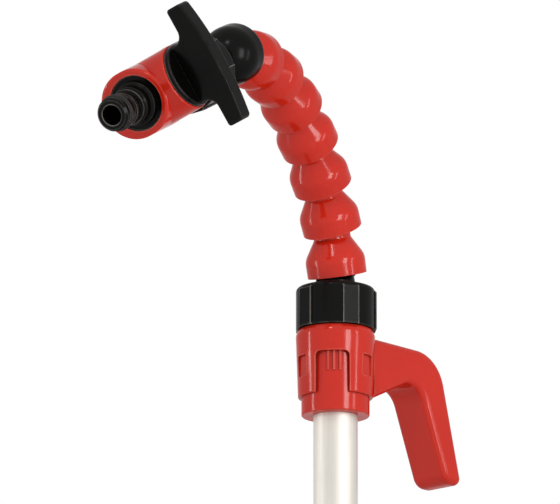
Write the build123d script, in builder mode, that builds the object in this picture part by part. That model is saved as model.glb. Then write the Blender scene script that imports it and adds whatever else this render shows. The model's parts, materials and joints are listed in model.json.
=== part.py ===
"""Rain-barrel pump with a rim hook, a ball-and-socket hose and a shut-off valve.

Frame: origin at the middle of the foot, +Z up the riser, +X the way the hook points.
All sizes are in millimetres.
"""
from build123d import *
from math import asin, cos, radians, sin
import os

os.makedirs("parts", exist_ok=True)

# ---------------------------------------------------------------- driving dimensions
# Clearances
running_gap = 0.05          # radial clearance of a running or screwed fit
ball_gap = 0.07             # radial clearance of a ball in its socket
loose_gap = 0.3             # gap between neighbours that pass each other
end_play = 0.2              # clearance at the end of a seated part
hole_gap = 0.2              # radial clearance of a screw in a plain hole
lap = 1.0                   # reach of an outline past the face it joins or cuts

# Edges
moulded_edge = 0.8          # rounding of a moulded outer corner
broad_edge = 1.6            # rounding of a broad shoulder
foot_edge = 0.6             # rounding under a nut
turned_edge = 0.5           # rounding of a turned metal corner

# Riser
upper_tube_radius = 12.5
tube_wall = 1.25
lower_tube_radius = 15.0
collar_height = 520.0       # underside of the hook collar above the floor
tube_overlap = 215.0        # upper tube inside the lower tube, pushed down
lower_tube_top = 400.0      # above the floor
slide_ring_height = 8.0

# Hook collar
skirt_radius = 19.2
skirt_height = 10.4
wall_bottom_radius = 21.1
wall_top_radius = 22.3
wall_height = 46.0          # top of the outer wall above the collar's underside
shoulder_height = 3.0
shoulder_land = 3.4         # shoulder's flat top outside the spigot
wall_round = 5.0
spigot_radius = 17.5
spigot_height = 14.0
spigot_bore = 10.0
tube_stop_depth = 6.0       # tube's end below the top of the outer wall
ring_below_stop = 8.0
ring_section = 1.0
ring_slack = 0.02
window_azimuth = 218.0
window_angle = 54.0
window_top = 33.7
window_round = 2.6
pocket_turns = (-57.0, 63.0, -117.0)
pocket_angle = 26.0
pocket_bottom = 21.0
pocket_top = 33.0
pocket_depth = 0.9
pocket_round = 1.2
rib_count = 3
rib_first = -7.1            # first rib's angle from the middle of the window
rib_pitch = 9.9
rib_width = 1.2
rib_height = 11.0
rib_sunk = 0.6
rib_proud = 0.9

# Hook arm, seen along Y: x out from the riser, z above the collar's underside
arm_width = 26.0
arm_root_top = 46.6
arm_top = 45.4
arm_outer_top = 73.3
arm_outer_tip = 92.3
arm_tip = -27.3
arm_inner_top = 57.5
arm_inner_tip = 78.5
arm_under = 24.8
arm_knee = 10.5
arm_root_bottom = 11.3
arm_root_depth = 3.0
arm_outer_bend = 23.0
arm_inner_bend = 13.0
arm_toe_round = 8.0
arm_edge = 4.0

# Union nuts: the lower one at the collar, the inlet one at the valve
nut_radius = 22.2
nut_lug_reach = 22.9
nut_lug_width = 9.6
inlet_nut_radius = 19.6
inlet_lug_reach = 20.3
inlet_lug_width = 8.6
inlet_spigot_radius = 15.8
nut_lug_count = 5
nut_lug_phase = 245.75
lug_root = 4.0
lug_drop = 1.9
lug_chamfer = 1.1
nut_lip = 5.7
nut_round = 2.4
seal_thickness = 2.0
seal_inset = 0.4
flange_thickness = 3.0
flange_gap = 0.3            # flange inside the spigot's radius
fitting_neck = 11.3
inlet_neck = 9.0
neck_taper = 4.0

# Ball-and-socket hose
ball_radius = 13.7
link_pitch = 25.6
link_neck = 10.5
link_bore = 7.0
bell_radius = 16.9
rim_radius = 16.7
rim_drop = 8.1
rim_bore = 15.3
rim_round = 0.35
lip_drop = 4.5
shoulder_start = 2.2
shoulder_end = 12.9
shoulder_round = 10.0
neck_round = 1.2
rim_clearance = 7.5         # first link's rim above its union nut
hose_azimuth = 197.2
link_bends = (18.0, 14.0, 11.0, 11.5, 13.3, 14.8, 14.0)
valve_bend = 17.7
valve_azimuth = 195.0

# Shut-off valve: inlet and outlet along the flow, plug across it
body_radius = 19.4
body_length = 24.6          # outlet axis to the open end under the handle
body_end_round = 10.5
body_stretch = 2.8          # closed end beyond a round body
inlet_offset = 13.0         # inlet axis from the outlet axis
inlet_stand = 0.8           # inlet spigot's foot proud of the body
inlet_floor = 2.0
spigot_cone = 0.6
outlet_face = 19.6          # outlet face in front of the plug axis
outlet_bore = 9.0
inlet_reach = 79.0          # last ball to the plug axis, along the flow
valve_roll = 20.0
plug_radius = 11.0
plug_inner_end = 1.0
plug_setback = 4.1
plug_head = 3.5
plug_ring_section = 0.9
plug_ring_room = 0.15
plug_ring_nip = 0.06
plug_ring_low = 2.4
plug_ring_high = 1.7
port_radius = 5.0
passage_radius = 5.5
bonnet_radius = 14.0
stem_radius = 6.0
stem_square = 8.4
stem_reach = 11.4
insert_radius = 15.8
insert_depth = 6.0
insert_recess = 1.2
handle_screw_length = 20.0
handle_screw_radius = 1.5
handle_head_radius = 3.0
handle_head_height = 2.0
handle_slot_length = 3.6
handle_slot_width = 0.8
handle_screw_room = 0.5

# Outlet nipple, along the flow from the insert's face
nipple_length = 32.0
nipple_collar = ((12.8, 0.0), (12.4, 3.2), (10.9, 4.4), (10.9, 9.0), (10.1, 10.2))
catch_radius = 10.1
catch_neck = 8.3
catch_level = 16.4          # far end of the catch groove
catch_groove = 4.0
groove_lead = 0.6
nose_radius = 9.5
nipple_bore = 5.8
nose_groove = 1.0
nose_groove_start = 2.4
nose_groove_end = 4.6
nose_groove_slope = 0.4
ring_level = 26.0
nose_ring_section = 1.2
nose_ring_sunk = 1.45
ring_groove_depth = 1.5
ring_groove_half = 1.3
nose_lead_length = 1.6
nose_lead_depth = 1.2

# T-handle
hub_radius = 18.4
hub_thickness = 3.0
hub_round = 1.0
handle_span = 73.0
handle_rise = 21.2          # ends of the outer edge above the hub's underside
handle_crown = 3.4
wing_depth = 9.8
wing_root_round = 6.4
wing_under_round = 1.8
wing_tip_round = 2.4
handle_thickness = 11.0
handle_root_half = 17.2
handle_round = 1.3

# Pump unit, heights above the floor
housing_radius = 58.0
housing_wall = 3.0
housing_height = 116.0
housing_rib_count = 24
housing_rib_radius = 1.1
housing_rib_inset = 12.0
screw_inset = 7.5
screw_boss = 4.2
screw_boss_height = 14.0
screw_radius = 1.9
screw_head_radius = 3.8
screw_head_height = 2.4
screw_head_round = 1.2
screw_head_room = 0.6
screw_slot_length = 4.4
screw_slot_width = 1.0
screw_length = 16.0
cover_rise = 16.0
cover_edge = 4.0
cover_lip = 5.0
cover_land = 6.0
cover_land_round = 3.0
cover_hollow = 1.6
cover_hollow_step = 2.0
cover_wall = 3.0
outlet_boss_height = 26.0
outlet_boss_radius = 20.0
outlet_boss_flare = 3.0
outlet_boss_round = 1.4
tube_seat_depth = 2.0
pad_height = 3.0
pad_radius = 9.0
pad_inset = 14.0
pad_count = 4
strainer_flare = 6.0
strainer_top = 34.0
strainer_wall = 3.0
strainer_draft = 2.0
strainer_flange = 12.0
strainer_round = 1.2
slot_count = 28
slot_width = 4.0
slot_height = 19.0
plate_thickness = 3.0
eye_radius = 11.0
chamber_height = 23.0
chamber_wall = 3.0
outlet_window_count = 8
outlet_window_width = 12.0
impeller_room = 9.0         # impeller's edge inside the chamber's wall
impeller_height = 14.0
impeller_gap = 1.6
impeller_hub_wall = 3.6
shroud_thickness = 3.0
vane_count = 6
vane_lap = 1.0
vane_back = ((0.58, 4.6), (0.95, -6.0))
vane_front = ((0.92, -8.4), (0.56, 2.2))
vane_root = 2.4
shaft_radius = 4.0
seal_radius = 9.0
seal_gap = 0.6
seal_room = 0.5
bearing_radius = 11.0
bearing_width = 7.0
bearing_setback = 1.0
bearing_boss_wall = 2.5
shaft_setback = 2.0
motor_inset = 4.0
motor_wall = 1.5
motor_can_wall = 2.0
motor_height = 80.0
motor_cap_height = 3.0
motor_cap_round = 1.5
stator_depth = 17.9
rotor_length = 44.0
air_gap = 0.6
winding_height = 8.0
winding_inner_gap = 2.0
winding_outer_gap = 3.0
gland_radius = 9.0
gland_inset = 20.0
gland_hex_height = 6.0
gland_height = 13.0
gland_shoulder = 1.4
gland_draft = 0.4
gland_round = 2.0
gland_hole_wall = 2.0
gland_sunk = 7.0
gland_bore = 3.6
bush_start = 2.0
bush_height = 10.4

# Telescopic clamp
clamp_body_height = 22.0
clamp_body_radius = 18.4
clamp_flange = 2.0
clamp_flange_height = 3.0
collet_height = 9.0
collet_inset = 0.6
collet_cone_width = 2.0
collet_cone_height = 3.0
collet_slit = 1.5
clamp_radius = 23.0
clamp_lip = 5.0
clamp_round = 3.0
clamp_foot_round = 1.0
clamp_groove_count = 12
clamp_groove_radius = 2.2
clamp_groove_stop = 4.0

# ---------------------------------------------------------------- derived sizes
wall_shoulder = wall_height + shoulder_height
nut_depth = spigot_height + seal_thickness + flange_thickness - loose_gap
nut_top = nut_depth + nut_lip
ball_height = wall_shoulder + loose_gap + nut_top + rim_clearance + rim_drop

screw_circle = housing_radius - screw_inset
gland_circle = housing_radius - gland_inset
strainer_radius = housing_radius + strainer_flare
pad_circle = strainer_radius - pad_inset
chamber_radius = screw_circle - screw_boss - loose_gap
motor_radius = chamber_radius - motor_inset
stator_radius = motor_radius - motor_can_wall
stator_bore = stator_radius - stator_depth
rotor_radius = stator_bore - air_gap
impeller_radius = chamber_radius - chamber_wall - impeller_room

# ---------------------------------------------------------------- derived frames
head = Plane.XY.offset(collar_height)


def radial(frame):
    """Sketch plane through a frame's axis: x outward, y along the axis."""
    return Plane(origin=frame.origin, x_dir=frame.x_dir, z_dir=-frame.y_dir)


def axis_of(frame):
    return Axis(frame.origin, frame.z_dir)


def tilted(tilt, azimuth=hose_azimuth):
    """Direction at a tilt from vertical, leaning towards an azimuth."""
    out = sin(radians(tilt))
    turn = radians(azimuth)
    return Vector(out * cos(turn), out * sin(turn), cos(radians(tilt)))


def level(azimuth):
    """Horizontal direction across an azimuth."""
    return Vector(-sin(radians(azimuth)), cos(radians(azimuth)), 0)


bend_axis = level(hose_azimuth)
ball_frame = Plane(origin=(0, 0, collar_height + ball_height), x_dir=bend_axis, z_dir=(0, 0, 1))

link_frames = []
tilt_now = 0.0
centre_now = ball_frame.origin
for bend in link_bends:
    tilt_now += bend
    link_frames.append(Plane(origin=centre_now, x_dir=bend_axis, z_dir=tilted(tilt_now)))
    centre_now = centre_now + tilted(tilt_now) * link_pitch

flow = tilted(tilt_now + valve_bend, valve_azimuth)
socket_frame = Plane(origin=centre_now, x_dir=level(valve_azimuth), z_dir=flow)
handle_axis = level(valve_azimuth).rotate(Axis((0, 0, 0), flow), valve_roll)
plug_centre = centre_now + flow * inlet_reach - handle_axis * inlet_offset
outlet_frame = Plane(origin=plug_centre, x_dir=handle_axis, z_dir=flow)
bar_axis = outlet_frame.y_dir
plug_frame = Plane(origin=plug_centre, x_dir=flow, z_dir=handle_axis)
inlet_frame = Plane(origin=plug_centre + handle_axis * inlet_offset, x_dir=handle_axis, z_dir=-flow)


def turned(frame, angle):
    """The same frame, turned about its own axis."""
    across = frame.x_dir * cos(radians(angle)) + frame.y_dir * sin(radians(angle))
    return Plane(origin=frame.origin, x_dir=across, z_dir=frame.z_dir)


def profile(points):
    """Closed outline through the given points, as a face."""
    Polygon(*points, align=None)


def soften(points, radius):
    """Round the sketch corners nearest the given points."""
    corners = [vertices().sort_by_distance(point)[0] for point in points]
    fillet(corners, radius)


def ball_arc(height, radius, start, end):
    """Arc of a circle on the axis at a height, between two angles above the horizontal."""
    points = []
    for angle in (start, (start + end) / 2, end):
        points.append((radius * cos(angle), height + radius * sin(angle)))
    ThreePointArc(*points)


# ---------------------------------------------------------------- riser
upper_tube_bottom = lower_tube_top - tube_overlap
tube_stop = wall_height - tube_stop_depth

with BuildPart() as upper_tube:
    with BuildSketch(Plane.XY.offset(upper_tube_bottom)):
        Circle(upper_tube_radius)
        Circle(upper_tube_radius - tube_wall, mode=Mode.SUBTRACT)
    extrude(amount=collar_height + tube_stop - loose_gap - upper_tube_bottom)
upper_tube.part.label = "upper_tube"
export_step(upper_tube.part, "parts/upper_tube.step")

# ---------------------------------------------------------------- hook collar
ring_groove_height = 2.0 * ring_section + loose_gap
ring_groove_level = tube_stop - ring_below_stop
spigot_top = wall_shoulder + spigot_height
tube_seat = upper_tube_radius + running_gap

with BuildPart() as hook_arm:
    with BuildSketch(Plane(origin=head.origin, x_dir=(1, 0, 0), z_dir=(0, -1, 0))):
        root = wall_bottom_radius - arm_root_depth
        knee = arm_inner_top - arm_knee
        profile([
            (root, arm_root_top),
            (arm_outer_top, arm_top),
            (arm_outer_tip, arm_tip),
            (arm_inner_tip, arm_tip),
            (arm_inner_top, arm_under),
            (knee, arm_under),
            (root, arm_root_bottom),
        ])
        soften([(arm_outer_top, arm_top)], arm_outer_bend)
        soften([(arm_inner_top, arm_under)], arm_inner_bend)
        soften([(arm_outer_tip, arm_tip)], arm_edge)
        soften([(arm_inner_tip, arm_tip)], arm_toe_round)
    extrude(amount=arm_width / 2, both=True)
    fillet(
        [edge for edge in hook_arm.edges() if abs(abs(edge.center().Y) - arm_width / 2) < 0.01
         and edge.center().X > root + lap],
        arm_edge,
    )

with BuildPart() as hook_collar:
    with BuildSketch(radial(head)):
        profile([
            (0, skirt_height),
            (wall_bottom_radius, skirt_height),
            (wall_top_radius, wall_height),
            (spigot_radius + shoulder_land, wall_shoulder),
            (0, wall_shoulder),
        ])
        soften([(wall_bottom_radius, skirt_height)], moulded_edge)
        soften([(wall_top_radius, wall_height)], wall_round)
    revolve(axis=axis_of(head))
    window_plane = Plane(
        origin=head.origin,
        x_dir=level(window_azimuth),
        z_dir=(cos(radians(window_azimuth)), sin(radians(window_azimuth)), 0),
    )
    window_width = 2 * wall_bottom_radius * sin(radians(window_angle / 2))
    with BuildSketch(window_plane):
        profile([
            (-window_width / 2, -lap),
            (window_width / 2, -lap),
            (window_width / 2, window_top),
            (-window_width / 2, window_top),
        ])
        soften([(window_width / 2, window_top), (-window_width / 2, window_top)], window_round)
    extrude(amount=wall_top_radius + lap, mode=Mode.SUBTRACT)
    pocket_width = 2 * wall_bottom_radius * sin(radians(pocket_angle / 2))
    for pocket_turn in pocket_turns:
        pocket_azimuth = window_azimuth + pocket_turn
        outward = Vector(cos(radians(pocket_azimuth)), sin(radians(pocket_azimuth)), 0)
        floor = wall_bottom_radius - pocket_depth
        pocket_plane = Plane(
            origin=head.origin + outward * floor,
            x_dir=level(pocket_azimuth),
            z_dir=outward,
        )
        with BuildSketch(pocket_plane):
            profile([
                (-pocket_width / 2, pocket_bottom),
                (pocket_width / 2, pocket_bottom),
                (pocket_width / 2, pocket_top),
                (-pocket_width / 2, pocket_top),
            ])
            fillet(vertices(), pocket_round)
        extrude(amount=pocket_depth + wall_top_radius - wall_bottom_radius + lap, mode=Mode.SUBTRACT)
    add(hook_arm.part)
    with BuildSketch(radial(head)):
        profile([
            (0, 0),
            (skirt_radius, 0),
            (skirt_radius, wall_shoulder - lap),
            (spigot_radius, wall_shoulder - lap),
            (spigot_radius, spigot_top),
            (0, spigot_top),
        ])
        soften([(skirt_radius, 0)], moulded_edge)
        soften([(spigot_radius, spigot_top)], moulded_edge)
    revolve(axis=axis_of(head))
    for rib in range(rib_count):
        rib_turn = radians(window_azimuth + rib_first + rib * rib_pitch)
        rib_out = Vector(cos(rib_turn), sin(rib_turn), 0)
        rib_plane = Plane(
            origin=head.origin + rib_out * (skirt_radius - rib_sunk),
            x_dir=Vector(-rib_out.Y, rib_out.X, 0),
            z_dir=rib_out,
        )
        with BuildSketch(rib_plane):
            profile([
                (-rib_width / 2, window_top - rib_height),
                (rib_width / 2, window_top - rib_height),
                (rib_width / 2, window_top + rib_sunk),
                (-rib_width / 2, window_top + rib_sunk),
            ])
        extrude(amount=rib_sunk + rib_proud)
    with BuildSketch(radial(head)):
        profile([
            (0, -lap),
            (tube_seat, -lap),
            (tube_seat, ring_groove_level),
            (tube_seat + 2.0 * ring_section, ring_groove_level),
            (tube_seat + 2.0 * ring_section, ring_groove_level + ring_groove_height),
            (tube_seat, ring_groove_level + ring_groove_height),
            (tube_seat, tube_stop),
            (spigot_bore, tube_stop),
            (spigot_bore, spigot_top + lap),
            (0, spigot_top + lap),
        ])
    revolve(axis=axis_of(head), mode=Mode.SUBTRACT)
hook_collar.part.label = "hook_collar"
export_step(hook_collar.part, "parts/hook_collar.step")

with BuildPart() as tube_o_ring:
    with BuildSketch(radial(head)):
        with Locations((tube_seat + ring_section, ring_groove_level + ring_groove_height / 2)):
            Circle(ring_section - ring_slack)
    revolve(axis=axis_of(head))
tube_o_ring.part.label = "tube_o_ring"
export_step(tube_o_ring.part, "parts/tube_o_ring.step")

# ---------------------------------------------------------------- screwed joints
# Each union: a spigot, a flat seal, a flanged fitting and a nut. Heights are from the spigot's foot.
def make_nut(foot, radius, lug_reach, lug_width, spigot, neck):
    """Union nut over a spigot and round a fitting's neck, standing at the spigot's foot."""
    base = foot.offset(loose_gap)
    with BuildPart() as nut:
        with BuildSketch(radial(base)):
            profile([(0, 0), (radius, 0), (radius, nut_top), (0, nut_top)])
            soften([(radius, 0)], foot_edge)
            soften([(radius, nut_top)], nut_round)
        revolve(axis=axis_of(base))
        lug_height = nut_top - lug_drop
        lug_inner = radius - lug_root
        for turn in range(nut_lug_count):
            lug_frame = turned(base, nut_lug_phase + turn * 360.0 / nut_lug_count)
            with BuildSketch(radial(lug_frame).offset(-lug_width / 2)):
                profile([
                    (lug_inner, 0),
                    (lug_reach, 0),
                    (lug_reach, lug_height - lug_chamfer),
                    (lug_reach - lug_chamfer, lug_height),
                    (lug_inner, lug_height),
                ])
                soften([(lug_reach, 0)], foot_edge)
            extrude(amount=lug_width)
        with BuildSketch(radial(base)):
            thread_radius = spigot + running_gap
            neck_hole = neck + loose_gap
            profile([
                (0, -lap),
                (thread_radius, -lap),
                (thread_radius, nut_depth),
                (neck_hole, nut_depth),
                (neck_hole, nut_top + lap),
                (0, nut_top + lap),
            ])
        revolve(axis=axis_of(base), mode=Mode.SUBTRACT)
    return nut.part


def make_seal(foot, spigot):
    """Flat seal on top of a spigot of a radius."""
    with BuildPart() as seal:
        with BuildSketch(foot.offset(spigot_height)):
            Circle(spigot - seal_inset)
            Circle(spigot_bore, mode=Mode.SUBTRACT)
        extrude(amount=seal_thickness)
    return seal.part


head_foot = head.offset(wall_shoulder)
fitting_foot = spigot_height + seal_thickness
ball_over_foot = ball_height - wall_shoulder
flange_radius = spigot_radius - flange_gap

lower_union_nut = make_nut(
    head_foot, nut_radius, nut_lug_reach, nut_lug_width, spigot_radius, fitting_neck,
)
lower_union_nut.label = "lower_union_nut"
export_step(lower_union_nut, "parts/lower_union_nut.step")

lower_flat_seal = make_seal(head_foot, spigot_radius)
lower_flat_seal.label = "lower_flat_seal"
export_step(lower_flat_seal, "parts/lower_flat_seal.step")


def angle_at(radius, ball):
    """Angle above the horizontal where a cylinder of a radius leaves a ball."""
    return radians(90) - asin(radius / ball)


with BuildPart() as ball_fitting:
    with BuildSketch(radial(head_foot)):
        with BuildLine():
            neck_meet = angle_at(link_neck, ball_radius)
            bore_meet = angle_at(link_bore, ball_radius)
            neck_level = ball_over_foot - ball_radius * sin(neck_meet)
            Polyline(
                (link_bore, ball_over_foot + ball_radius * sin(bore_meet)),
                (link_bore, fitting_foot),
                (flange_radius, fitting_foot),
                (flange_radius, fitting_foot + flange_thickness),
                (fitting_neck, fitting_foot + flange_thickness),
                (fitting_neck, neck_level - neck_taper),
                (link_neck, neck_level),
            )
            ball_arc(ball_over_foot, ball_radius, -neck_meet, bore_meet)
        make_face()
    revolve(axis=axis_of(head_foot))
ball_fitting.part.label = "ball_fitting"
export_step(ball_fitting.part, "parts/ball_fitting.step")

# ---------------------------------------------------------------- hose links
socket_inner = ball_radius + ball_gap


def make_link(frame):
    """One link: a socket around the frame's origin and a ball one pitch along its axis."""
    neck_meet = angle_at(link_neck, ball_radius)
    ball_top = angle_at(link_bore, ball_radius)
    cup_top = angle_at(link_bore, socket_inner)
    cup_low = -asin(lip_drop / socket_inner)
    with BuildPart() as link:
        with BuildSketch(radial(frame)):
            with BuildLine():
                ball_arc(0, socket_inner, cup_top, cup_low)
                Polyline(
                    (socket_inner * cos(cup_low), -lip_drop),
                    (rim_bore, -rim_drop),
                    (rim_radius, -rim_drop),
                    (bell_radius, shoulder_start),
                    (link_neck, shoulder_end),
                    (link_neck, link_pitch - ball_radius * sin(neck_meet)),
                )
                ball_arc(link_pitch, ball_radius, -neck_meet, ball_top)
                Line(
                    (link_bore, link_pitch + ball_radius * sin(ball_top)),
                    (link_bore, socket_inner * sin(cup_top)),
                )
            make_face()
            soften([(bell_radius, shoulder_start)], shoulder_round)
            soften([(link_neck, shoulder_end)], neck_round)
            soften([(rim_radius, -rim_drop)], rim_round)
        revolve(axis=axis_of(frame))
    return link.part


hose_links = []
for number, frame in enumerate(link_frames, start=1):
    hose_link = make_link(frame)
    hose_link.label = f"hose_link_{number}"
    export_step(hose_link, f"parts/hose_link_{number}.step")
    hose_links.append(hose_link)

# ---------------------------------------------------------------- hose end at the valve
valve_foot = inlet_frame.offset(body_radius + inlet_stand)
fitting_face = inlet_reach - body_radius - inlet_stand - fitting_foot
inlet_flange_radius = inlet_spigot_radius - flange_gap

with BuildPart() as socket_fitting:
    cup_top = angle_at(link_bore, socket_inner)
    cup_low = -asin(lip_drop / socket_inner)
    crown_high = angle_at(inlet_neck, bell_radius)
    with BuildSketch(radial(socket_frame)):
        with BuildLine():
            ball_arc(0, socket_inner, cup_top, cup_low)
            Polyline(
                (socket_inner * cos(cup_low), -lip_drop),
                (rim_bore, -rim_drop),
                (rim_radius, -rim_drop),
                (bell_radius, 0),
            )
            ball_arc(0, bell_radius, 0, crown_high)
            Polyline(
                (inlet_neck, bell_radius * sin(crown_high)),
                (inlet_neck, fitting_face - flange_thickness),
                (inlet_flange_radius, fitting_face - flange_thickness),
                (inlet_flange_radius, fitting_face),
                (link_bore, fitting_face),
                (link_bore, socket_inner * sin(cup_top)),
            )
        make_face()
    revolve(axis=axis_of(socket_frame))
socket_fitting.part.label = "socket_fitting"
export_step(socket_fitting.part, "parts/socket_fitting.step")

upper_union_nut = make_nut(
    valve_foot, inlet_nut_radius, inlet_lug_reach, inlet_lug_width, inlet_spigot_radius, inlet_neck,
)
upper_union_nut.label = "upper_union_nut"
export_step(upper_union_nut, "parts/upper_union_nut.step")

upper_flat_seal = make_seal(valve_foot, inlet_spigot_radius)
upper_flat_seal.label = "upper_flat_seal"
export_step(upper_flat_seal, "parts/upper_flat_seal.step")

# ---------------------------------------------------------------- shut-off valve
# Along the plug, from the outlet axis to the handle
plug_outer_end = body_length - plug_setback
passage_end = plug_outer_end - plug_head
plug_ring_levels = (plug_inner_end + plug_ring_low, plug_outer_end - plug_ring_high)
bonnet_low = plug_outer_end + end_play
insert_seat = outlet_face - insert_depth
stem_end = body_length + stem_reach
plug_seat = plug_radius + running_gap

with BuildPart() as valve_body:
    with BuildSketch(outlet_frame.offset(-body_radius)):
        with Locations((-body_stretch / 2, 0)):
            SlotCenterToCenter(body_stretch, 2 * body_radius)
    extrude(amount=body_radius + outlet_face)
    fillet(valve_body.edges().group_by(axis_of(outlet_frame))[0], body_end_round)
    fillet(valve_body.edges().group_by(axis_of(outlet_frame))[-1], broad_edge)
    with BuildSketch(radial(plug_frame)):
        profile([(0, 0), (body_radius, 0), (body_radius, body_length), (0, body_length)])
        soften([(body_radius, body_length)], moulded_edge)
    revolve(axis=axis_of(plug_frame))
    with BuildSketch(radial(valve_foot)):
        profile([
            (0, -body_radius),
            (plug_seat - lap, -body_radius),
            (plug_seat - lap, -spigot_cone),
            (inlet_spigot_radius, 0),
            (inlet_spigot_radius, spigot_height),
            (0, spigot_height),
        ])
        soften([(inlet_spigot_radius, spigot_height)], moulded_edge)
    revolve(axis=axis_of(valve_foot))
    with BuildSketch(radial(plug_frame)):
        profile([
            (0, plug_inner_end - plug_radius),
            (plug_seat, plug_inner_end - plug_radius),
            (plug_seat, bonnet_low),
            (bonnet_radius + running_gap, bonnet_low),
            (bonnet_radius + running_gap, body_length + lap),
            (0, body_length + lap),
        ])
    revolve(axis=axis_of(plug_frame), mode=Mode.SUBTRACT)
    with BuildSketch(radial(outlet_frame)):
        profile([
            (0, 0),
            (outlet_bore, 0),
            (outlet_bore, insert_seat),
            (insert_radius + running_gap, insert_seat),
            (insert_radius + running_gap, outlet_face + lap),
            (0, outlet_face + lap),
        ])
    revolve(axis=axis_of(outlet_frame), mode=Mode.SUBTRACT)
    with BuildSketch(inlet_frame):
        Circle(port_radius)
    extrude(amount=body_radius + inlet_stand + spigot_height + lap, mode=Mode.SUBTRACT)
    with BuildSketch(valve_foot.offset(inlet_floor)):
        Circle(spigot_bore)
    extrude(amount=spigot_height, mode=Mode.SUBTRACT)
valve_body.part.label = "valve_body"
export_step(valve_body.part, "parts/valve_body.step")

with BuildPart() as valve_plug:
    with BuildSketch(radial(plug_frame)):
        profile([
            (0, plug_inner_end),
            (plug_radius, plug_inner_end),
            (plug_radius, plug_outer_end),
            (stem_radius, plug_outer_end),
            (stem_radius, body_length),
            (0, body_length),
        ])
    revolve(axis=axis_of(plug_frame))
    with BuildSketch(plug_frame.offset(body_length)):
        RectangleRounded(stem_square, stem_square, moulded_edge)
    extrude(amount=stem_end - body_length)
    with BuildSketch(radial(plug_frame)):
        groove = plug_ring_section + plug_ring_room
        for level_now in plug_ring_levels:
            with Locations((plug_radius, level_now)):
                Rectangle(4 * groove, 2 * groove)
    revolve(axis=axis_of(plug_frame), mode=Mode.SUBTRACT)
    with BuildSketch(plug_frame.offset(plug_inner_end)):
        Circle(passage_radius)
    extrude(amount=passage_end - plug_inner_end, mode=Mode.SUBTRACT)
    with BuildSketch(Plane(origin=inlet_frame.origin, x_dir=handle_axis, z_dir=-bar_axis)):
        Circle(port_radius)
    extrude(amount=plug_radius + lap, mode=Mode.SUBTRACT)
    with BuildSketch(plug_frame.offset(passage_end)):
        Circle(handle_screw_radius + 2 * running_gap)
    extrude(amount=stem_end, mode=Mode.SUBTRACT)
valve_plug.part.label = "valve_plug"
export_step(valve_plug.part, "parts/valve_plug.step")

with BuildPart() as plug_o_rings:
    with BuildSketch(radial(plug_frame)):
        for level_now in plug_ring_levels:
            with Locations((plug_seat - plug_ring_section - plug_ring_nip, level_now)):
                Circle(plug_ring_section)
    revolve(axis=axis_of(plug_frame))
plug_o_rings.part.label = "plug_o_rings"
export_step(plug_o_rings.part, "parts/plug_o_rings.step")

with BuildPart() as bonnet_ring:
    with BuildSketch(plug_frame.offset(bonnet_low)):
        Circle(bonnet_radius)
        Circle(stem_radius + running_gap, mode=Mode.SUBTRACT)
    extrude(amount=body_length - bonnet_low - loose_gap)
bonnet_ring.part.label = "bonnet_ring"
export_step(bonnet_ring.part, "parts/bonnet_ring.step")

with BuildPart() as handle_screw:
    with BuildSketch(radial(plug_frame)):
        profile([
            (0, passage_end - handle_head_height),
            (handle_head_radius, passage_end - handle_head_height),
            (handle_head_radius, passage_end),
            (handle_screw_radius, passage_end),
            (handle_screw_radius, passage_end + handle_screw_length),
            (0, passage_end + handle_screw_length),
        ])
        soften([(handle_head_radius, passage_end - handle_head_height)], moulded_edge)
    revolve(axis=axis_of(plug_frame))
    with BuildSketch(plug_frame.offset(passage_end - handle_head_height)):
        Rectangle(handle_slot_length, handle_slot_width)
        Rectangle(handle_slot_width, handle_slot_length)
    extrude(amount=handle_head_height / 2, mode=Mode.SUBTRACT)
handle_screw.part.label = "handle_screw"
export_step(handle_screw.part, "parts/handle_screw.step")

handle_foot = plug_frame.offset(body_length + loose_gap)
bar_plane = Plane(origin=handle_foot.origin, x_dir=bar_axis, z_dir=-flow)

with BuildPart() as handle_plate:
    with BuildSketch(bar_plane):
        with BuildLine():
            half = handle_span / 2
            Polyline(
                (half, handle_rise),
                (half, handle_rise - wing_depth),
                (handle_root_half, handle_rise - wing_depth),
                (handle_root_half, hub_thickness / 2),
                (-handle_root_half, hub_thickness / 2),
                (-handle_root_half, handle_rise - wing_depth),
                (-half, handle_rise - wing_depth),
                (-half, handle_rise),
            )
            ThreePointArc((-half, handle_rise), (0, handle_rise + handle_crown), (half, handle_rise))
        make_face()
        soften([(side * handle_root_half, handle_rise - wing_depth) for side in (1, -1)], wing_root_round)
        soften([(side * half, handle_rise - wing_depth) for side in (1, -1)], wing_under_round)
        soften([(side * half, handle_rise) for side in (1, -1)], wing_tip_round)
    extrude(amount=handle_thickness / 2, both=True)
    fillet(
        [edge for edge in handle_plate.edges()
         if abs(abs(bar_plane.to_local_coords(edge.center()).Z) - handle_thickness / 2) < 0.01
         and bar_plane.to_local_coords(edge.center()).Y > hub_thickness],
        handle_round,
    )

with BuildPart() as t_handle:
    with BuildSketch(radial(handle_foot)):
        profile([(0, 0), (hub_radius, 0), (hub_radius, hub_thickness), (0, hub_thickness)])
        soften([(hub_radius, hub_thickness)], hub_round)
    revolve(axis=axis_of(handle_foot))
    add(handle_plate.part)
    with BuildSketch(handle_foot):
        RectangleRounded(stem_square + 2 * running_gap, stem_square + 2 * running_gap, moulded_edge)
    extrude(amount=stem_end + end_play - body_length, mode=Mode.SUBTRACT)
    with BuildSketch(handle_foot):
        Circle(handle_screw_radius + running_gap)
    screw_depth = passage_end + handle_screw_length + handle_screw_room - body_length
    extrude(amount=screw_depth, mode=Mode.SUBTRACT)
t_handle.part.label = "t_handle"
export_step(t_handle.part, "parts/t_handle.step")

# ---------------------------------------------------------------- outlet nipple
insert_face = outlet_frame.offset(outlet_face - insert_recess)
insert_foot = insert_recess - insert_depth
nose_dip = nose_radius - nose_groove
ring_dip = nose_radius - ring_groove_depth

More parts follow.
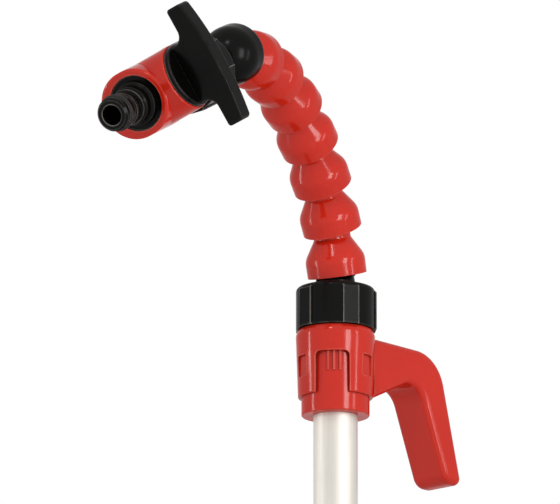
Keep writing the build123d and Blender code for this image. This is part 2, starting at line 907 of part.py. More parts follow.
with BuildPart() as outlet_nipple:
    with BuildSketch(radial(insert_face)):
        profile([
            (nipple_bore, insert_foot + loose_gap),
            (insert_radius, insert_foot + loose_gap),
            (insert_radius, 0),
            *nipple_collar,
            (catch_radius, catch_level - catch_groove - groove_lead),
            (catch_neck, catch_level - catch_groove),
            (catch_neck, catch_level),
            (nose_radius, catch_level + groove_lead),
            (nose_radius, catch_level + nose_groove_start),
            (nose_dip, catch_level + nose_groove_start + nose_groove_slope),
            (nose_dip, catch_level + nose_groove_end - nose_groove_slope),
            (nose_radius, catch_level + nose_groove_end),
            (nose_radius, ring_level - ring_groove_half),
            (ring_dip, ring_level - ring_groove_half),
            (ring_dip, ring_level + ring_groove_half),
            (nose_radius, ring_level + ring_groove_half),
            (nose_radius, nipple_length - nose_lead_length),
            (nose_radius - nose_lead_depth, nipple_length),
            (nipple_bore, nipple_length),
        ])
    revolve(axis=axis_of(insert_face))
outlet_nipple.part.label = "outlet_nipple"
export_step(outlet_nipple.part, "parts/outlet_nipple.step")

with BuildPart() as nipple_o_ring:
    with BuildSketch(radial(insert_face)):
        with Locations((nose_radius - nose_ring_sunk + nose_ring_section, ring_level)):
            Circle(nose_ring_section)
    revolve(axis=axis_of(insert_face))
nipple_o_ring.part.label = "nipple_o_ring"
export_step(nipple_o_ring.part, "parts/nipple_o_ring.step")

# ---------------------------------------------------------------- telescopic joint
floor_frame = Plane.XY
lower_tube_bore = lower_tube_radius - tube_wall
plate_top = strainer_top + plate_thickness
chamber_top = plate_top + chamber_height
housing_top = plate_top + housing_height
boss_foot = housing_top + cover_rise
boss_top = boss_foot + outlet_boss_height
tube_foot = boss_foot - tube_seat_depth

with BuildPart() as lower_tube:
    with BuildSketch(Plane.XY.offset(tube_foot)):
        Circle(lower_tube_radius)
        Circle(lower_tube_bore, mode=Mode.SUBTRACT)
    extrude(amount=lower_tube_top - tube_foot)
lower_tube.part.label = "lower_tube"
export_step(lower_tube.part, "parts/lower_tube.step")

with BuildPart() as slide_ring:
    with BuildSketch(Plane.XY.offset(upper_tube_bottom)):
        Circle(lower_tube_bore - running_gap)
        Circle(upper_tube_radius, mode=Mode.SUBTRACT)
    extrude(amount=slide_ring_height)
slide_ring.part.label = "slide_ring"
export_step(slide_ring.part, "parts/slide_ring.step")

clamp_foot = Plane.XY.offset(lower_tube_top - clamp_body_height)
collet_foot = clamp_body_height
collet_top = collet_foot + collet_height
collet_radius = clamp_body_radius - collet_inset
clamp_low = clamp_flange_height + loose_gap
clamp_top = collet_top + loose_gap + clamp_lip

with BuildPart() as clamp_body:
    with BuildSketch(radial(clamp_foot)):
        profile([
            (lower_tube_radius, 0),
            (clamp_body_radius + clamp_flange, 0),
            (clamp_body_radius + clamp_flange, clamp_flange_height),
            (clamp_body_radius, clamp_flange_height),
            (clamp_body_radius, clamp_body_height),
            (lower_tube_radius, clamp_body_height),
        ])
    revolve(axis=axis_of(clamp_foot))
clamp_body.part.label = "clamp_body"
export_step(clamp_body.part, "parts/clamp_body.step")

with BuildPart() as clamp_collet:
    with BuildSketch(radial(clamp_foot)):
        profile([
            (upper_tube_radius + running_gap, collet_foot),
            (collet_radius, collet_foot),
            (collet_radius, collet_top - collet_cone_height),
            (collet_radius - collet_cone_width, collet_top),
            (upper_tube_radius + running_gap, collet_top),
        ])
    revolve(axis=axis_of(clamp_foot))
    with BuildSketch(clamp_foot.offset(collet_foot)):
        with Locations((lower_tube_radius, 0)):
            Rectangle(clamp_body_radius, collet_slit)
    extrude(amount=collet_height, mode=Mode.SUBTRACT)
clamp_collet.part.label = "clamp_collet"
export_step(clamp_collet.part, "parts/clamp_collet.step")

with BuildPart() as clamp_nut:
    with BuildSketch(radial(clamp_foot)):
        profile([
            (clamp_body_radius + running_gap, clamp_low),
            (clamp_radius, clamp_low),
            (clamp_radius, clamp_top),
            (upper_tube_radius + loose_gap, clamp_top),
            (upper_tube_radius + loose_gap, collet_top + loose_gap),
            (clamp_body_radius + running_gap, collet_top + loose_gap),
        ])
        soften([(clamp_radius, clamp_top)], clamp_round)
        soften([(clamp_radius, clamp_low)], clamp_foot_round)
    revolve(axis=axis_of(clamp_foot))
    with BuildSketch(clamp_foot):
        with PolarLocations(clamp_radius + lap, clamp_groove_count):
            Circle(clamp_groove_radius)
    extrude(amount=clamp_top - clamp_groove_stop, mode=Mode.SUBTRACT)
clamp_nut.part.label = "clamp_nut"
export_step(clamp_nut.part, "parts/clamp_nut.step")

# ---------------------------------------------------------------- strainer and feet
strainer_rim = strainer_radius - strainer_wall
strainer_mouth = housing_radius - strainer_flange

with BuildPart() as base_strainer:
    with BuildSketch(radial(floor_frame)):
        profile([
            (0, pad_height),
            (strainer_radius, pad_height),
            (strainer_radius - strainer_draft, strainer_top),
            (strainer_mouth, strainer_top),
            (strainer_mouth, strainer_top - strainer_wall),
            (strainer_rim - strainer_draft, strainer_top - strainer_wall),
            (strainer_rim, pad_height + strainer_wall),
            (0, pad_height + strainer_wall),
        ])
        soften([(strainer_radius, pad_height)], strainer_round)
    revolve(axis=Axis.Z)
    for slot in range(slot_count):
        slot_turn = 360.0 * slot / slot_count
        slot_plane = radial(turned(floor_frame, slot_turn))
        with BuildSketch(slot_plane.offset(-slot_width / 2)):
            with Locations((strainer_radius, (pad_height + strainer_top) / 2)):
                Rectangle(4 * strainer_wall, slot_height)
        extrude(amount=slot_width, mode=Mode.SUBTRACT)
    with BuildSketch(Plane.XY.offset(strainer_top)):
        with PolarLocations(screw_circle, pad_count, start_angle=45):
            Circle(screw_radius + hole_gap)
    extrude(amount=-strainer_wall, mode=Mode.SUBTRACT)
base_strainer.part.label = "base_strainer"
export_step(base_strainer.part, "parts/base_strainer.step")

with BuildPart() as foot_pads:
    with BuildSketch(floor_frame):
        Circle(pad_radius)
        with PolarLocations(pad_circle, pad_count):
            Circle(pad_radius)
    extrude(amount=pad_height)
    fillet(foot_pads.edges().group_by(SortBy.LENGTH)[-1].group_by(Axis.Z)[0], moulded_edge)
foot_pads.part.label = "foot_pads"
export_step(foot_pads.part, "parts/foot_pads.step")

# ---------------------------------------------------------------- pump chamber
with BuildPart() as suction_plate:
    with BuildSketch(Plane.XY.offset(strainer_top)):
        Circle(housing_radius)
        Circle(eye_radius, mode=Mode.SUBTRACT)
        with PolarLocations(screw_circle, pad_count, start_angle=45):
            Circle(screw_radius + hole_gap, mode=Mode.SUBTRACT)
    extrude(amount=plate_thickness)
suction_plate.part.label = "suction_plate"
export_step(suction_plate.part, "parts/suction_plate.step")

with BuildPart() as chamber_body:
    with BuildSketch(radial(floor_frame)):
        profile([
            (chamber_radius - chamber_wall, plate_top),
            (chamber_radius, plate_top),
            (chamber_radius, chamber_top),
            (seal_radius, chamber_top),
            (seal_radius, chamber_top - chamber_wall * 2),
            (seal_radius + chamber_wall, chamber_top - chamber_wall * 2),
            (seal_radius + chamber_wall, chamber_top - chamber_wall),
            (chamber_radius - chamber_wall, chamber_top - chamber_wall),
        ])
    revolve(axis=Axis.Z)
    for window in range(outlet_window_count):
        window_turn = 360.0 * window / outlet_window_count
        window_side = radial(turned(floor_frame, window_turn)).offset(-outlet_window_width / 2)
        with BuildSketch(window_side):
            with Locations((chamber_radius, plate_top + chamber_height / 2)):
                Rectangle(4 * chamber_wall, chamber_height / 2)
        extrude(amount=outlet_window_width, mode=Mode.SUBTRACT)
chamber_body.part.label = "chamber_body"
export_step(chamber_body.part, "parts/chamber_body.step")

impeller_low = plate_top + impeller_gap
impeller_top = impeller_low + impeller_height
hub_outer = shaft_radius + impeller_hub_wall
vane_root_x = hub_outer - vane_lap
vane_reach = impeller_radius - vane_lap
vane_back_points = [(vane_reach * share, across) for share, across in vane_back]
vane_front_points = [(vane_reach * share, across) for share, across in vane_front]

with BuildPart() as impeller:
    with BuildSketch(Plane.XY.offset(impeller_top - shroud_thickness)):
        Circle(impeller_radius)
    extrude(amount=shroud_thickness)
    with BuildSketch(Plane.XY.offset(impeller_low)):
        Circle(hub_outer)
    extrude(amount=impeller_height)
    for vane in range(vane_count):
        vane_turn = 360.0 * vane / vane_count
        with BuildSketch(turned(floor_frame, vane_turn).offset(impeller_low)):
            with BuildLine():
                ThreePointArc((vane_root_x, 0), *vane_back_points)
                Line(vane_back_points[-1], vane_front_points[0])
                ThreePointArc(*vane_front_points, (vane_root_x, -vane_root))
                Line((vane_root_x, -vane_root), (vane_root_x, 0))
            make_face()
        extrude(amount=impeller_height - vane_lap)
    with BuildSketch(Plane.XY.offset(impeller_low)):
        Circle(shaft_radius)
    extrude(amount=impeller_height, mode=Mode.SUBTRACT)
impeller.part.label = "impeller"
export_step(impeller.part, "parts/impeller.step")

with BuildPart() as shaft_seal:
    with BuildSketch(Plane.XY.offset(impeller_top + seal_gap)):
        Circle(seal_radius)
        Circle(shaft_radius + running_gap, mode=Mode.SUBTRACT)
    extrude(amount=chamber_top - impeller_top - seal_gap)
shaft_seal.part.label = "shaft_seal"
export_step(shaft_seal.part, "parts/shaft_seal.step")

# ---------------------------------------------------------------- motor
motor_top = chamber_top + motor_height
bearing_low = chamber_top + motor_wall
bearing_high = motor_top - bearing_setback - bearing_width
rotor_low = chamber_top + (motor_height - rotor_length) / 2
shaft_top = motor_top - shaft_setback


def motor_bearing(height):
    """Bearing, drawn as one ring, standing at a height."""
    with BuildPart() as bearing:
        with BuildSketch(radial(Plane.XY.offset(height))):
            profile([
                (shaft_radius + running_gap, 0),
                (bearing_radius, 0),
                (bearing_radius, bearing_width),
                (shaft_radius + running_gap, bearing_width),
            ])
            soften([(bearing_radius, 0), (bearing_radius, bearing_width)], turned_edge)
        revolve(axis=Axis.Z)
    return bearing.part


lower_bearing = motor_bearing(bearing_low)
lower_bearing.label = "lower_bearing"
export_step(lower_bearing, "parts/lower_bearing.step")

upper_bearing = motor_bearing(bearing_high)
upper_bearing.label = "upper_bearing"
export_step(upper_bearing, "parts/upper_bearing.step")

with BuildPart() as motor_shaft:
    with BuildSketch(radial(floor_frame)):
        profile([
            (0, impeller_low),
            (shaft_radius, impeller_low),
            (shaft_radius, shaft_top),
            (0, shaft_top),
        ])
        soften([(shaft_radius, shaft_top), (shaft_radius, impeller_low)], turned_edge)
    revolve(axis=Axis.Z)
motor_shaft.part.label = "motor_shaft"
export_step(motor_shaft.part, "parts/motor_shaft.step")

with BuildPart() as rotor_core:
    with BuildSketch(Plane.XY.offset(rotor_low)):
        Circle(rotor_radius)
        Circle(shaft_radius, mode=Mode.SUBTRACT)
    extrude(amount=rotor_length)
rotor_core.part.label = "rotor_core"
export_step(rotor_core.part, "parts/rotor_core.step")

with BuildPart() as stator_core:
    with BuildSketch(Plane.XY.offset(rotor_low)):
        Circle(stator_radius)
        Circle(stator_bore, mode=Mode.SUBTRACT)
    extrude(amount=rotor_length)
stator_core.part.label = "stator_core"
export_step(stator_core.part, "parts/stator_core.step")

with BuildPart() as windings:
    for winding_low in (rotor_low - winding_height, rotor_low + rotor_length):
        with BuildSketch(radial(Plane.XY.offset(winding_low))):
            profile([
                (stator_bore + winding_inner_gap, 0),
                (stator_radius - winding_outer_gap, 0),
                (stator_radius - winding_outer_gap, winding_height),
                (stator_bore + winding_inner_gap, winding_height),
            ])
        revolve(axis=Axis.Z)
windings.part.label = "windings"
export_step(windings.part, "parts/windings.step")

bearing_boss = bearing_radius + bearing_boss_wall
can_mouth = seal_radius + seal_room

with BuildPart() as motor_can:
    with BuildSketch(radial(floor_frame)):
        profile([
            (can_mouth, chamber_top),
            (motor_radius, chamber_top),
            (motor_radius, motor_top),
            (stator_radius, motor_top),
            (stator_radius, bearing_low),
            (bearing_boss, bearing_low),
            (bearing_boss, bearing_low + bearing_width),
            (bearing_radius, bearing_low + bearing_width),
            (bearing_radius, bearing_low),
            (can_mouth, bearing_low),
        ])
    revolve(axis=Axis.Z)
motor_can.part.label = "motor_can"
export_step(motor_can.part, "parts/motor_can.step")

with BuildPart() as motor_cap:
    with BuildSketch(radial(floor_frame)):
        profile([
            (0, motor_top),
            (bearing_radius, motor_top),
            (bearing_radius, bearing_high),
            (bearing_boss, bearing_high),
            (bearing_boss, motor_top),
            (motor_radius, motor_top),
            (motor_radius, motor_top + motor_cap_height),
            (0, motor_top + motor_cap_height),
        ])
        soften([(motor_radius, motor_top + motor_cap_height)], motor_cap_round)
    revolve(axis=Axis.Z)
motor_cap.part.label = "motor_cap"
export_step(motor_cap.part, "parts/motor_cap.step")

# ---------------------------------------------------------------- housing and top cover
housing_bore = housing_radius - housing_wall
boss_web = housing_bore - screw_circle + lap

with BuildPart() as pump_housing:
    with BuildSketch(radial(floor_frame)):
        profile([
            (housing_bore, plate_top),
            (housing_radius, plate_top),
            (housing_radius, housing_top),
            (housing_bore, housing_top),
        ])
        soften([(housing_radius, plate_top)], moulded_edge)
    revolve(axis=Axis.Z)
    for boss_low in (plate_top, housing_top - screw_boss_height):
        with BuildSketch(Plane.XY.offset(boss_low)):
            with PolarLocations(screw_circle, pad_count, start_angle=45):
                Circle(screw_boss)
                with Locations((boss_web / 2, 0)):
                    Rectangle(boss_web, 2 * screw_boss)
        extrude(amount=screw_boss_height)
        with BuildSketch(Plane.XY.offset(boss_low)):
            with PolarLocations(screw_circle, pad_count, start_angle=45):
                Circle(screw_radius)
        extrude(amount=screw_boss_height, mode=Mode.SUBTRACT)
    with BuildSketch(Plane.XY.offset(plate_top + housing_rib_inset)):
        with PolarLocations(housing_radius, housing_rib_count):
            Circle(housing_rib_radius)
    extrude(amount=housing_height - 2 * housing_rib_inset)
pump_housing.part.label = "pump_housing"
export_step(pump_housing.part, "parts/pump_housing.step")

cover_seat = housing_top + cover_edge
slope_foot = housing_top + cover_lip
slope_radius = screw_circle - cover_land
slope_end = outlet_boss_radius + outlet_boss_flare
hollow_radius = screw_circle - screw_boss
ceiling = boss_foot - cover_wall

with BuildPart() as top_cover:
    with BuildSketch(radial(floor_frame)):
        profile([
            (0, housing_top),
            (housing_radius, housing_top),
            (housing_radius, cover_seat),
            (slope_radius, slope_foot),
            (slope_end, boss_foot),
            (outlet_boss_radius, boss_foot + outlet_boss_flare),
            (outlet_boss_radius, boss_top),
            (0, boss_top),
        ])
        soften([(housing_radius, cover_seat)], broad_edge)
        soften([(slope_radius, slope_foot)], cover_land_round)
        soften([(outlet_boss_radius, boss_top)], outlet_boss_round)
    revolve(axis=Axis.Z)
    with BuildSketch(radial(floor_frame)):
        profile([
            (0, housing_top - lap),
            (hollow_radius, housing_top - lap),
            (hollow_radius - cover_hollow_step, housing_top + cover_hollow),
            (outlet_boss_radius, ceiling),
            (lower_tube_bore, ceiling),
            (lower_tube_bore, tube_foot),
            (lower_tube_radius + running_gap, tube_foot),
            (lower_tube_radius + running_gap, boss_top + lap),
            (0, boss_top + lap),
        ])
    revolve(axis=Axis.Z, mode=Mode.SUBTRACT)
    with BuildSketch(Plane.XY.offset(housing_top)):
        with PolarLocations(screw_circle, pad_count, start_angle=45):
            Circle(screw_radius + hole_gap)
    extrude(amount=2 * cover_edge, mode=Mode.SUBTRACT)
    with BuildSketch(Plane.XY.offset(cover_seat)):
        with PolarLocations(screw_circle, pad_count, start_angle=45):
            Circle(screw_head_radius + screw_head_room)
    extrude(amount=2 * cover_edge, mode=Mode.SUBTRACT)
    with BuildSketch(Plane.XY.offset(housing_top)):
        with Locations((0, gland_circle)):
            Circle(gland_radius - gland_hole_wall)
    extrude(amount=cover_rise, mode=Mode.SUBTRACT)
top_cover.part.label = "top_cover"
export_step(top_cover.part, "parts/top_cover.step")


def round_screw(origin, up, length):
    """Pan-head screw: the head's underside lies at the origin."""
    frame = Plane(origin=origin, x_dir=(1, 0, 0), z_dir=(0, 0, up))
    with BuildPart() as screw:
        with BuildSketch(radial(frame)):
            profile([
                (0, -length),
                (screw_radius - running_gap, -length),
                (screw_radius - running_gap, 0),
                (screw_head_radius, 0),
                (screw_head_radius, screw_head_height),
                (0, screw_head_height),
            ])
            soften([(screw_head_radius, screw_head_height)], screw_head_round)
        revolve(axis=axis_of(frame))
        with BuildSketch(frame.offset(screw_head_height - screw_slot_width)):
            Rectangle(screw_slot_length, screw_slot_width)
            Rectangle(screw_slot_width, screw_slot_length)
        extrude(amount=screw_slot_width + lap, mode=Mode.SUBTRACT)
    return screw.part


def screw_points(height):
    turns = [radians(45 + 360.0 * step / pad_count) for step in range(pad_count)]
    return [(screw_circle * cos(turn), screw_circle * sin(turn), height) for turn in turns]


upright_screws = [round_screw(point, 1, screw_length) for point in screw_points(cover_seat)]
with BuildPart() as cover_screws:
    add(upright_screws)
cover_screws.part.label = "cover_screws"
export_step(cover_screws.part, "parts/cover_screws.step")

screw_seat = strainer_top - strainer_wall
hanging_screws = [round_screw(point, -1, screw_length) for point in screw_points(screw_seat)]
with BuildPart() as base_screws:
    add(hanging_screws)
base_screws.part.label = "base_screws"
export_step(base_screws.part, "parts/base_screws.step")

gland_slope = (boss_foot - slope_foot) / (slope_end - slope_radius)
gland_seat = slope_foot + gland_slope * (gland_circle - gland_radius - slope_radius)
gland_foot = Plane(origin=(0, gland_circle, gland_seat), x_dir=(1, 0, 0), z_dir=(0, 0, 1))
gland_dome = gland_radius - gland_shoulder
gland_shank = gland_radius - gland_hole_wall - 2 * running_gap

with BuildPart() as cable_gland:
    with BuildSketch(gland_foot):
        RegularPolygon(gland_radius, 6)
    extrude(amount=gland_hex_height)
    with BuildSketch(radial(gland_foot)):
        profile([
            (0, gland_hex_height),
            (gland_dome, gland_hex_height),
            (gland_dome - gland_draft, gland_height),
            (0, gland_height),
        ])
        soften([(gland_dome - gland_draft, gland_height)], gland_round)
    revolve(axis=axis_of(gland_foot))
    with BuildSketch(gland_foot.offset(-gland_sunk)):
        Circle(gland_shank)
    extrude(amount=gland_sunk)
    with BuildSketch(gland_foot.offset(-gland_sunk - lap)):
        Circle(gland_bore)
    extrude(amount=gland_sunk + gland_height + 2 * lap, mode=Mode.SUBTRACT)
cable_gland.part.label = "cable_gland"
export_step(cable_gland.part, "parts/cable_gland.step")

with BuildPart() as cable_bush:
    with BuildSketch(gland_foot.offset(bush_start)):
        Circle(gland_bore - running_gap)
    extrude(amount=bush_height)
cable_bush.part.label = "cable_bush"
export_step(cable_bush.part, "parts/cable_bush.step")
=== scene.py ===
import json
from math import cos, pi, radians, sin

import bmesh
import bpy
from mathutils import Matrix, Vector

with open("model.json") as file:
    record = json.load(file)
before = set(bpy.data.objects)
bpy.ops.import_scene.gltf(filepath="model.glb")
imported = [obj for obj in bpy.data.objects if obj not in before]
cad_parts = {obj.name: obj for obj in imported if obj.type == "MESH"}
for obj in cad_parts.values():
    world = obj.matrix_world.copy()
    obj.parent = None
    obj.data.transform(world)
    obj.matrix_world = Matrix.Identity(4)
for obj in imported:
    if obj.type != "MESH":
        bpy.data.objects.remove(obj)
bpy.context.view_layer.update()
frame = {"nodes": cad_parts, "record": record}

nodes = frame["nodes"]
slot_of = {part["node"]: part["material_slot"] for part in frame["record"]["subparts"]}

MM = 0.001

# Where the edge wear with its painted highlight, and the painted shade in hollows, start and
# where they are full, as the share of rays that get away.
EDGE_RANGE = (0.9, 0.55)
HOLLOW_SHADE_RANGE = (0.85, 0.25)
OCCLUSION_SAMPLES = 8
BEVEL_SAMPLES = 4

# Moulded plastic.
MOULD_RADIUS = 0.45 * MM
SKIN_DEPTH = 0.003 * MM
# Reach of the pale edges, which are wear and a painted highlight, and of the painted shade in
# hollows.
WEAR_AND_HIGHLIGHT_REACH = 1.0 * MM
HOLLOW_SHADE_REACH = 4.0 * MM
WORN_ROUGHER = 0.08
COAT_IOR = 2.5
UNDER_COAT_SPECULAR = 0.02

# Rubber and metal.
PORE_DEPTH = 0.03 * MM
RUBBER_SPECULAR = 0.3
METAL_RADIUS = 0.2 * MM
LAYER_DEPTH = 0.15 * MM
WAVE_PITCH = 0.314  # the pitch of Blender's wave bands at a scale of 1


# ------------------------------------------------------------------ shader helpers
def feed(tree, fed, inputs):
    """Set or link a node's inputs, by name or number."""
    for key, value in inputs.items():
        if isinstance(value, bpy.types.NodeSocket):
            tree.links.new(value, fed.inputs[key])
        else:
            fed.inputs[key].default_value = value


def add_node(tree, kind, inputs=None, **settings):
    """A shader node with its settings made, and its inputs set or linked."""
    made = tree.nodes.new("ShaderNode" + kind)
    for key, value in settings.items():
        setattr(made, key, value)
    feed(tree, made, inputs or {})
    return made


def blank(name):
    """A new material: its tree, its surface shader and its object coordinates."""
    made = bpy.data.materials.new(name)
    made.use_nodes = True
    tree = made.node_tree
    place = add_node(tree, "TexCoord").outputs["Object"]
    return made, tree, tree.nodes["Principled BSDF"], place


def noise(tree, place, scale, detail, stretch=None):
    """Noise from 0 to 1, its scale in cycles a metre, stretched along the axes if asked."""
    if stretch is not None:
        place = add_node(tree, "Mapping", {"Vector": place, "Scale": stretch}).outputs["Vector"]
    ends = {"Vector": place, "Scale": scale, "Detail": detail}
    return add_node(tree, "TexNoise", ends).outputs["Fac"]


def spread(tree, value, low, high, start=0.0, end=1.0):
    """The value's stretch from low to high, mapped to start and end."""
    ends = {"Value": value, "From Min": low, "From Max": high, "To Min": start, "To Max": end}
    return add_node(tree, "MapRange", ends).outputs["Result"]


def times(tree, first, second):
    return add_node(tree, "Math", {0: first, 1: second}, operation="MULTIPLY").outputs["Value"]


def plus(tree, first, second):
    return add_node(tree, "Math", {0: first, 1: second}, operation="ADD").outputs["Value"]


def blend_colour(tree, factor, first, second):
    """From the first colour to the second as the factor goes from 0 to 1."""
    ends = {0: factor, 6: first, 7: second}
    return add_node(tree, "Mix", ends, data_type="RGBA").outputs[2]


def rounded(tree, radius):
    """The surface normal with every edge rounded by a radius."""
    return add_node(tree, "Bevel", {"Radius": radius}, samples=BEVEL_SAMPLES).outputs["Normal"]


def occlusion(tree, reach, **settings):
    """The share of rays that meet nothing within a reach."""
    ends = {"Distance": reach}
    return add_node(
        tree, "AmbientOcclusion", ends, samples=OCCLUSION_SAMPLES, **settings
    ).outputs["AO"]


def edges(tree, reach):
    """1 along outside edges, sharp or rounded, and 0 on faces thicker than the reach."""
    return spread(tree, occlusion(tree, reach, inside=True, only_local=True), *EDGE_RANGE)


def painted_hollow_shade(tree, reach):
    """Where painted shade goes: 1 deep in seams, inside corners and between parts within a
    reach, and 0 in the open.
    """
    return spread(tree, occlusion(tree, reach), *HOLLOW_SHADE_RANGE)


def bumped(tree, height, depth, normal=None):
    """The normal bumped by a height from 0 to 1, standing for a depth in metres."""
    ends = {"Height": height, "Distance": depth, "Strength": 1.0}
    if normal is not None:
        ends["Normal"] = normal
    return add_node(tree, "Bump", ends).outputs["Normal"]


def rgb(red, green, blue):
    return (red, green, blue, 1.0)


def seen_as_white(tree):
    """1 for the rays that see the surround itself: the camera's, the gloss's and the glass's."""
    path = add_node(tree, "LightPath")
    seen = plus(tree, path.outputs["Is Camera Ray"], path.outputs["Is Glossy Ray"])
    return plus(tree, seen, path.outputs["Is Transmission Ray"])


# ------------------------------------------------------------------ materials
def moulded(name, colour, shade, worn_and_highlight, hollow_shade_colour, roughness, gloss):
    """Injection-moulded plastic: faint flow shading, a fine skin, pale edges that are wear and a
    painted highlight, and painted shade in its seams and inside corners.

    Its gloss is a thin dense coat, which lights up under the lamps but stays dark at the rims.
    """
    made, tree, shader, place = blank(name)
    flow = noise(tree, place, 26.0, 2.0)
    skin = noise(tree, place, 1500.0, 3.0)
    scuff_and_glint = noise(tree, place, 160.0, 6.0, (1.0, 1.0, 0.25))
    # Paler colour along outside edges: partly wear, partly a painted highlight.
    edge_wear_and_highlight = times(tree, edges(tree, WEAR_AND_HIGHLIGHT_REACH), spread(tree, scuff_and_glint, 0.25, 0.6))
    body = blend_colour(tree, spread(tree, flow, 0.3, 0.7), shade, colour)
    # Painted shade: the colour darkens in seams, inside corners and between parts.
    body = blend_colour(tree, painted_hollow_shade(tree, HOLLOW_SHADE_REACH), body, hollow_shade_colour)
    rough = plus(
        tree, spread(tree, scuff_and_glint, 0.35, 0.7, *roughness), times(tree, edge_wear_and_highlight, WORN_ROUGHER)
    )
    normal = bumped(tree, skin, SKIN_DEPTH, rounded(tree, MOULD_RADIUS))
    feed(tree, shader, {
        "Base Color": blend_colour(tree, edge_wear_and_highlight, body, worn_and_highlight),
        "Roughness": rough,
        "Coat Roughness": rough,
        "Normal": normal,
        "Coat Normal": normal,
        "Coat Weight": gloss,
        "Coat IOR": COAT_IOR,
        "Specular IOR Level": UNDER_COAT_SPECULAR,
    })
    return made


def rubber():
    """Soft black rubber, dusty in its pores."""
    made, tree, shader, place = blank("rubber")
    dust = spread(tree, noise(tree, place, 300.0, 6.0), 0.4, 0.75)
    pores = noise(tree, place, 2600.0, 4.0)
    black, dusty = rgb(0.010, 0.010, 0.011), rgb(0.032, 0.031, 0.029)
    feed(tree, shader, {
        "Base Color": blend_colour(tree, dust, black, dusty),
        "Roughness": spread(tree, dust, 0.0, 1.0, 0.62, 0.85),
        "Normal": bumped(tree, pores, PORE_DEPTH),
        "Specular IOR Level": RUBBER_SPECULAR,
    })
    return made


def metal(name, colour, shade, roughness, streaks, scale, depth):
    """Bare metal with streaks from drawing or turning: their stretch along X, Y and Z."""
    made, tree, shader, place = blank(name)
    smooth, rough = roughness
    streak = noise(tree, place, scale, 5.0, streaks)
    cloud = noise(tree, place, 30.0, 3.0)
    tone = plus(tree, times(tree, streak, 0.55), times(tree, cloud, 0.45))
    feed(tree, shader, {
        "Base Color": blend_colour(tree, spread(tree, tone, 0.35, 0.65), shade, colour),
        "Roughness": spread(tree, tone, 0.3, 0.7, rough, smooth),
        "Normal": bumped(tree, streak, depth, rounded(tree, METAL_RADIUS)),
        "Metallic": 1.0,
    })
    return made


def layered(name, colour, gap, pitch, roughness):
    """Metal built up in layers along Z: laminations, or turns of wire."""
    made, tree, shader, place = blank(name)
    smooth, rough = roughness
    ends = {"Vector": place, "Scale": WAVE_PITCH / pitch, "Distortion": 0.4}
    bands = add_node(tree, "TexWave", ends, bands_direction="Z").outputs["Fac"]
    feed(tree, shader, {
        "Base Color": blend_colour(tree, spread(tree, bands, 0.1, 0.5), gap, colour),
        "Roughness": spread(tree, bands, 0.0, 1.0, rough, smooth),
        "Normal": bumped(tree, bands, LAYER_DEPTH),
        "Metallic": 1.0,
    })
    return made


# In each plastic, the pale edge colour is wear with a painted highlight, and the darkest colour
# is painted shade in hollows.
finishes = {
    "red_plastic": moulded(
        "red_plastic",
        colour=rgb(0.62, 0.020, 0.007),
        shade=rgb(0.57, 0.017, 0.006),
        worn_and_highlight=rgb(0.76, 0.12, 0.08),
        hollow_shade_colour=rgb(0.28, 0.010, 0.005),
        roughness=(0.12, 0.18),
        gloss=0.13,
    ),
    "black_plastic": moulded(
        "black_plastic",
        colour=rgb(0.0034, 0.0030, 0.0027),
        shade=rgb(0.0022, 0.0020, 0.0018),
        worn_and_highlight=rgb(0.22, 0.20, 0.18),
        hollow_shade_colour=rgb(0.001, 0.001, 0.001),
        roughness=(0.18, 0.26),
        gloss=0.035,
    ),
    "dark_plastic": moulded(
        "dark_plastic",
        colour=rgb(0.014, 0.014, 0.015),
        shade=rgb(0.009, 0.009, 0.010),
        worn_and_highlight=rgb(0.04, 0.04, 0.042),
        hollow_shade_colour=rgb(0.004, 0.004, 0.004),
        roughness=(0.42, 0.55),
        gloss=0.12,
    ),
    "rubber": rubber(),
    "aluminium": metal(
        "aluminium",
        colour=rgb(0.70, 0.672, 0.62),
        shade=rgb(0.63, 0.60, 0.55),
        roughness=(0.52, 0.60),
        streaks=(1.0, 1.0, 0.02),
        scale=900.0,
        depth=0.006 * MM,
    ),
    "steel": metal(
        "steel",
        colour=rgb(0.62, 0.61, 0.60),
        shade=rgb(0.47, 0.46, 0.45),
        roughness=(0.18, 0.30),
        streaks=(1.0, 1.0, 0.1),
        scale=1200.0,
        depth=0.004 * MM,
    ),
    "stainless": metal(
        "stainless",
        colour=rgb(0.60, 0.59, 0.57),
        shade=rgb(0.46, 0.45, 0.44),
        roughness=(0.22, 0.36),
        streaks=(1.0, 1.0, 0.04),
        scale=700.0,
        depth=0.006 * MM,
    ),
    "core_steel": layered(
        "core_steel",
        colour=rgb(0.32, 0.32, 0.34),
        gap=rgb(0.05, 0.05, 0.055),
        pitch=0.5 * MM,
        roughness=(0.35, 0.6),
    ),
    "copper": layered(
        "copper",
        colour=rgb(0.75, 0.33, 0.14),
        gap=rgb(0.10, 0.03, 0.012),
        pitch=0.8 * MM,
        roughness=(0.25, 0.45),
    ),
}

for name, node in nodes.items():
    node.data.materials.clear()
    node.data.materials.append(finishes[slot_of[name]])


# ------------------------------------------------------------------ camera
# Worked out from the photo's ellipses: it looks up at the head from the hook's left.
view_turn = radians(-47.0)
view_lift = radians(-13.0)
view_distance = 10.0
view_width = 0.314
clip_end = 100.0
head_centre = Vector((-0.0364, 0.0086, 0.6099))

level_ahead = Vector((-sin(view_turn), cos(view_turn), 0.0))
right = Vector((cos(view_turn), sin(view_turn), 0.0))
ahead = level_ahead * cos(view_lift) - Vector((0.0, 0.0, sin(view_lift)))
up = right.cross(ahead)


def put(name, data):
    """A new object with its data, in the scene."""
    made = bpy.data.objects.new(name, data)
    bpy.context.scene.collection.objects.link(made)
    return made


def camera():
    data = bpy.data.cameras.new("camera")
    data.lens = data.sensor_width * view_distance / view_width
    data.clip_end = clip_end
    made = put("camera", data)
    place = head_centre - ahead * view_distance
    turn = Matrix((right, up, -ahead)).transposed().to_4x4()
    made.matrix_world = Matrix.Translation(place) @ turn
    bpy.context.scene.camera = made


camera()


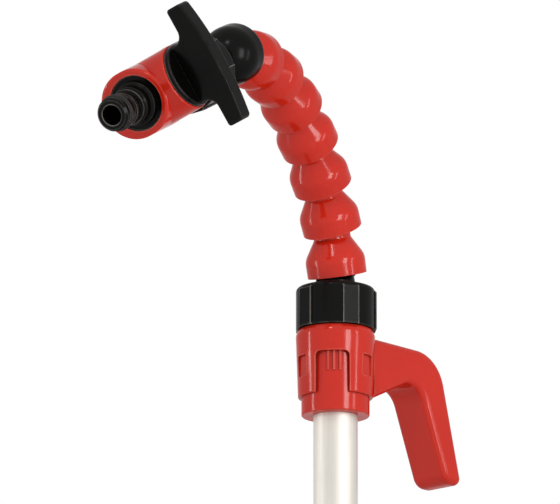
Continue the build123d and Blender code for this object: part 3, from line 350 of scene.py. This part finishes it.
# ------------------------------------------------------------------ light, floor and background
def softbox(name, turn, lift, distance, width, height, radiance):
    """A rectangular lamp that faces the head, in degrees to the camera's right and up."""
    data = bpy.data.lights.new(name, "AREA")
    data.shape = "RECTANGLE"
    data.size = width
    data.size_y = height
    data.energy = radiance * pi * width * height
    made = put(name, data)
    azimuth = view_turn + radians(turn)
    level = Vector((sin(azimuth), -cos(azimuth), 0.0))
    towards = level * cos(radians(lift)) + Vector((0.0, 0.0, sin(radians(lift))))
    made.location = head_centre + towards * distance
    made.rotation_euler = towards.to_track_quat("Z", "Y").to_euler()
    made.visible_camera = False


# Name, turn, lift, distance, width, height, radiance.
lamps = (
    ("key_light", 38.0, 1.0, 1.6, 0.42, 0.85, 8.5),
    ("left_light", -82.0, -1.0, 1.6, 0.10, 0.85, 14.0),
    ("right_light", 66.0, 0.0, 1.6, 0.14, 0.85, 7.0),
    ("top_light", -15.0, 38.0, 1.5, 0.18, 0.18, 20.0),
)
for lamp in lamps:
    softbox(*lamp)


def background():
    """A white surround, and a fill that is brightest from the camera's side and its left."""
    fill_far = 0.25
    fill_near = 0.66
    bright_side = (-0.45 * right - 0.8 * ahead + 0.2 * up).normalized()
    world = bpy.data.worlds.new("surround")
    world.use_nodes = True
    bpy.context.scene.world = world
    tree = world.node_tree
    ends = {0: add_node(tree, "TexCoord").outputs["Generated"], 1: bright_side}
    facing = add_node(tree, "VectorMath", ends, operation="DOT_PRODUCT").outputs["Value"]
    fill = spread(tree, facing, -1.0, 1.0, fill_far, fill_near)
    feed(tree, tree.nodes["Background"], {
        "Color": rgb(1.0, 1.0, 1.0),
        "Strength": spread(tree, seen_as_white(tree), 0.0, 1.0, fill, 1.0),
    })


background()


def floor():
    """A pale round floor that keeps the shadow and fades into the white surround."""
    radius, sides = 1.9, 96
    fade_start, fade_end, fade_least = 0.2, 1.3, 0.35
    mesh = bpy.data.meshes.new("floor")
    form = bmesh.new()
    bmesh.ops.create_circle(form, cap_ends=True, radius=radius, segments=sides)
    form.to_mesh(mesh)
    form.free()
    paint, tree, shader, place = blank("floor")
    speckle = noise(tree, place, 40.0, 4.0)
    feed(tree, shader, {
        "Base Color": blend_colour(tree, speckle, rgb(0.80, 0.80, 0.80), rgb(0.86, 0.86, 0.86)),
        "Roughness": 0.7,
        "Specular IOR Level": 0.1,
    })
    glow = add_node(tree, "Emission", {"Color": rgb(1.0, 1.0, 1.0), "Strength": 1.0})
    reach = add_node(tree, "VectorMath", {0: place}, operation="LENGTH").outputs["Value"]
    fade = spread(tree, reach, fade_start, fade_end, fade_least, 1.0)
    far = times(tree, fade, seen_as_white(tree))
    ends = {0: far, 1: shader.outputs["BSDF"], 2: glow.outputs["Emission"]}
    surface = add_node(tree, "MixShader", ends).outputs["Shader"]
    feed(tree, tree.nodes["Material Output"], {"Surface": surface})
    mesh.materials.append(paint)
    made = put("floor", mesh)


floor()

bpy.context.scene.view_settings.view_transform = "Standard"
